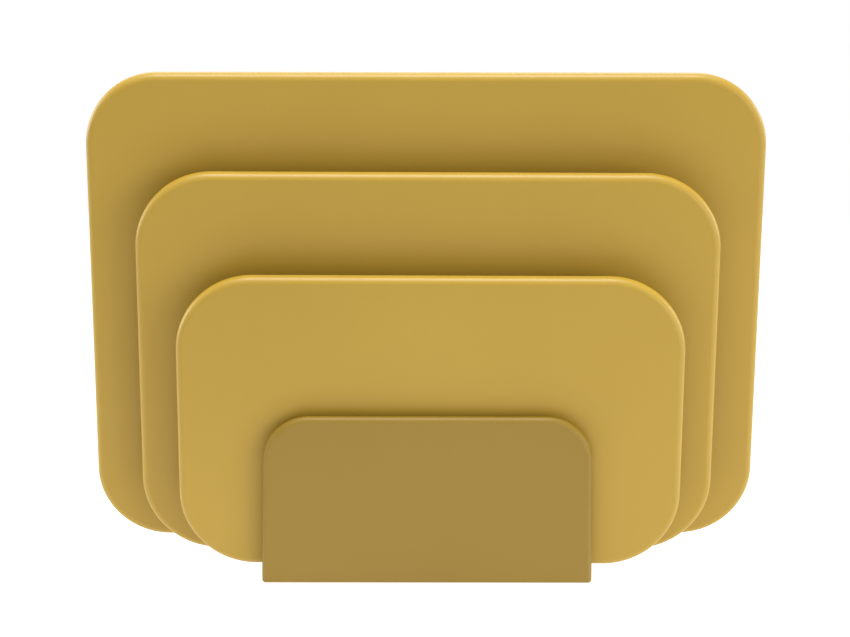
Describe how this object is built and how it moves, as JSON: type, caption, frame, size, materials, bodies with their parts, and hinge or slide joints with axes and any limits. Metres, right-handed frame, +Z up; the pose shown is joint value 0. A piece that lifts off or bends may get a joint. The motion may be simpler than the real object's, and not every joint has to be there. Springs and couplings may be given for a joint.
{
  "type": "chopping board set with stand",
  "caption": "Nested chopping boards of stepped size standing upright in a slotted rack with a low rounded front panel; each board lifts straight out.",
  "frame": {"origin": "on the table, below the middle of the rack", "axes": "+X along the boards' width, +Y from the front panel to the back panel, +Z up"},
  "size_m": [0.38, 0.0724, 0.2835],
  "materials": {
    "board_plastic": "satin mustard yellow",
    "rack_plastic": "matt olive mustard",
    "foot_rubber": "matt",
    "screw_steel": "zinc plated"
  },
  "bodies": {
    "rack": {"front_panel": "rack_plastic", "back_panel": "rack_plastic", "divider_front": "rack_plastic", "divider_rear": "rack_plastic", "stand_base": "rack_plastic", "foot_front_left": "foot_rubber", "foot_front_right": "foot_rubber", "foot_rear_left": "foot_rubber", "foot_rear_right": "foot_rubber", "screw_front_left": "screw_steel", "screw_front_middle": "screw_steel", "screw_front_right": "screw_steel", "screw_rear_left": "screw_steel", "screw_rear_middle": "screw_steel", "screw_rear_right": "screw_steel"},
    "small_board": {"board_small": "board_plastic"},
    "medium_board": {"board_medium": "board_plastic"},
    "large_board": {"board_large": "board_plastic"}
  },
  "joints": [
    {"name": "small_board_lift", "type": "slide", "parent": "rack", "child": "small_board", "axis": [0, 0, 1], "range_m": [0, 0.11]},
    {"name": "medium_board_lift", "type": "slide", "parent": "rack", "child": "medium_board", "axis": [0, 0, 1], "range_m": [0, 0.11]},
    {"name": "large_board_lift", "type": "slide", "parent": "rack", "child": "large_board", "axis": [0, 0, 1], "range_m": [0, 0.11]}
  ]
}
